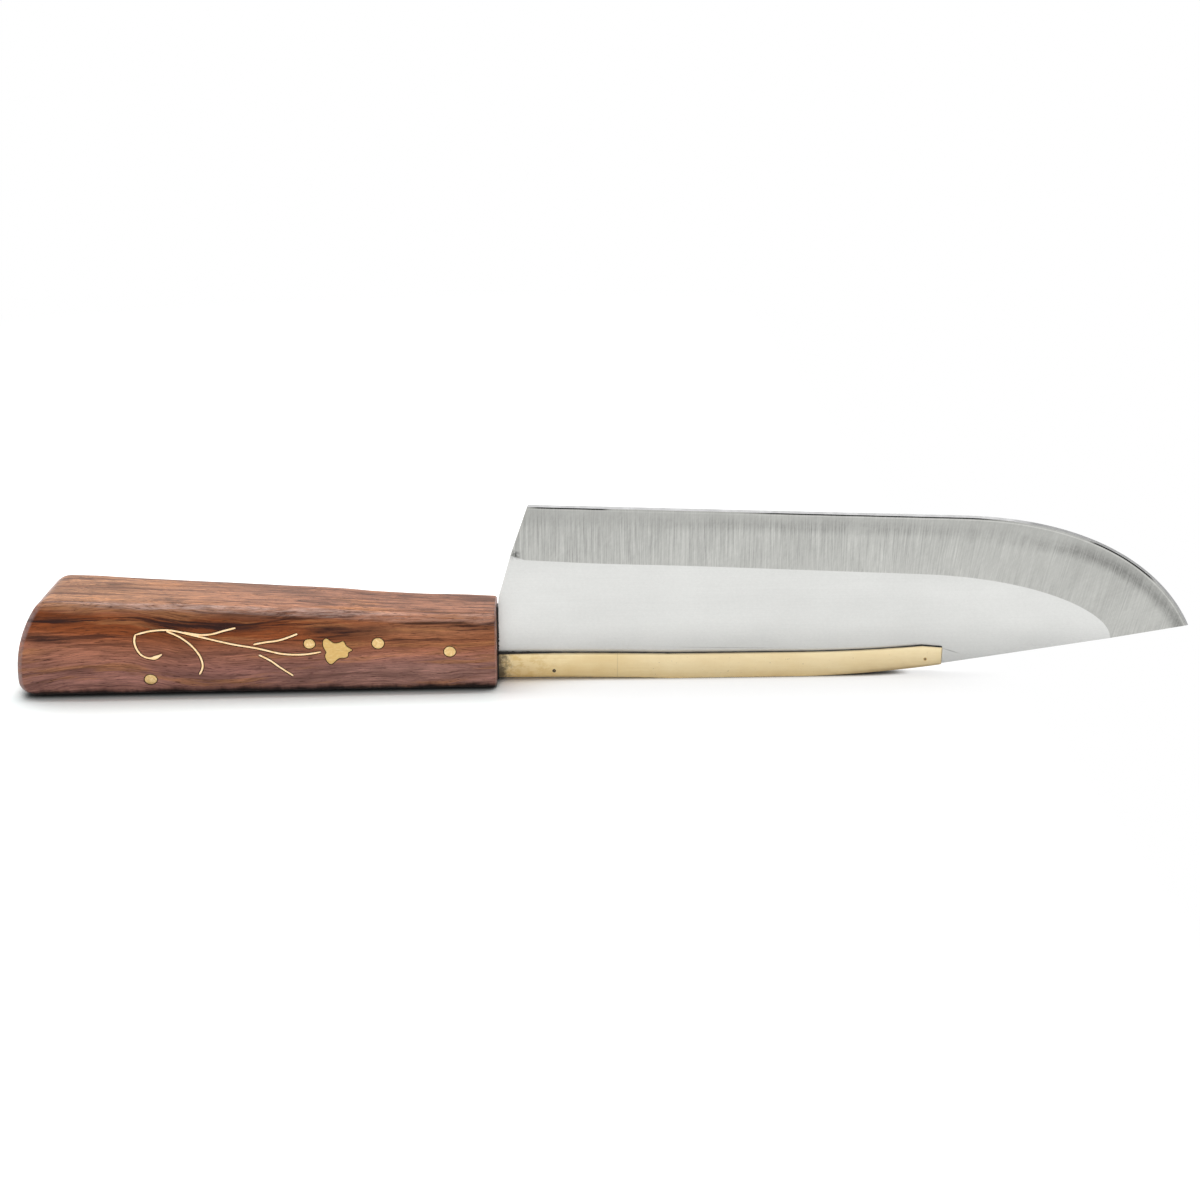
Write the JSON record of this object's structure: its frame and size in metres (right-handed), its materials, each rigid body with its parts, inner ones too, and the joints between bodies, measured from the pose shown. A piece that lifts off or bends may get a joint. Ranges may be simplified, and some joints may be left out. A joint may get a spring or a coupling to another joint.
{
  "type": "butcher knife",
  "caption": "Handmade butcher knife with a tapered rosewood handle inlaid with brass wire and a broad blade with brass bars along its spine.",
  "frame": {"origin": "middle of the overall length and width, on the plane that the knife rests on, spine down", "axes": "+X from the butt to the tip, +Z from the spine up to the cutting edge, -Y is the inlaid side"},
  "size_m": [0.34, 0.0264, 0.0524],
  "materials": {
    "blade_steel": "ground and scratched, satin",
    "rosewood": "worn oil finish, satin",
    "resin": "dark cutler's resin, matt",
    "bar_brass": "hand-filed, dull, dark spots",
    "dark_solder": "blackened solder and grime, matt",
    "pin_brass": "peened and filed flush",
    "inlay_brass": "rubbed flush, bright"
  },
  "bodies": {
    "root": {"blade": "blade_steel", "handle": "rosewood", "tang_bedding": "resin", "spine_bar_near": "bar_brass", "spine_bar_far": "bar_brass", "seam_near": "dark_solder", "seam_far": "dark_solder", "heel_rivet": "pin_brass", "tip_rivet": "pin_brass", "butt_pin": "pin_brass", "middle_pin": "pin_brass", "flower_pin": "pin_brass", "front_pin": "pin_brass", "inlay_hook": "inlay_brass", "inlay_stem": "inlay_brass", "inlay_upper_branch": "inlay_brass", "inlay_lower_branch": "inlay_brass", "inlay_upper_tendril": "inlay_brass", "inlay_lower_tendril": "inlay_brass", "inlay_flower": "inlay_brass"}
  },
  "joints": []
}
